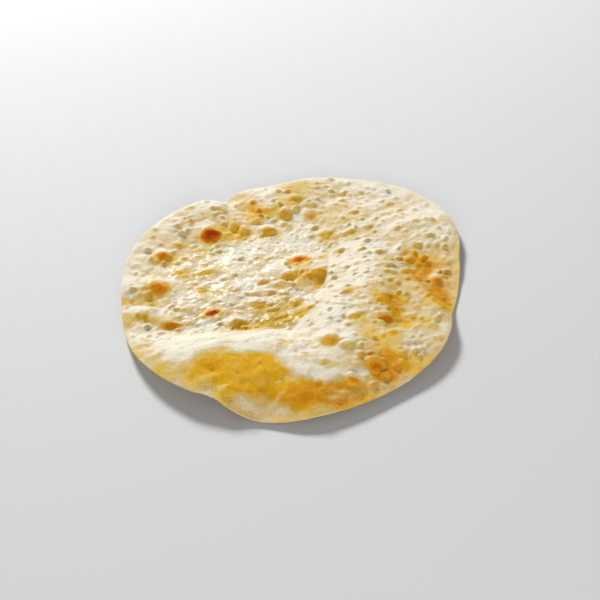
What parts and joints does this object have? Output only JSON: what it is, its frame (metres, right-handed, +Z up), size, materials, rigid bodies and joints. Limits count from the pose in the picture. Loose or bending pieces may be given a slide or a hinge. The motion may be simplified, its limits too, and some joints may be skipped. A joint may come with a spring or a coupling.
{
  "type": "chapati flatbread",
  "caption": "Thin round flatbread baked on a griddle: flat in the middle, with a raised front roll, a side mound, a curled rim, pleats and browned blisters.",
  "frame": {"origin": "under the middle of the bread, on the surface that it rests on", "axes": "+Z up, out of the browned upper side; -Y towards the front, which is raised in a long roll; +X towards the mound on the right"},
  "size_m": [0.1952, 0.196, 0.0176],
  "materials": {
    "baked_dough": "baked wheat dough, cream with amber folds and red-brown blisters, slightly oily"
  },
  "bodies": {
    "root": {"chapati": "baked_dough"}
  },
  "joints": []
}
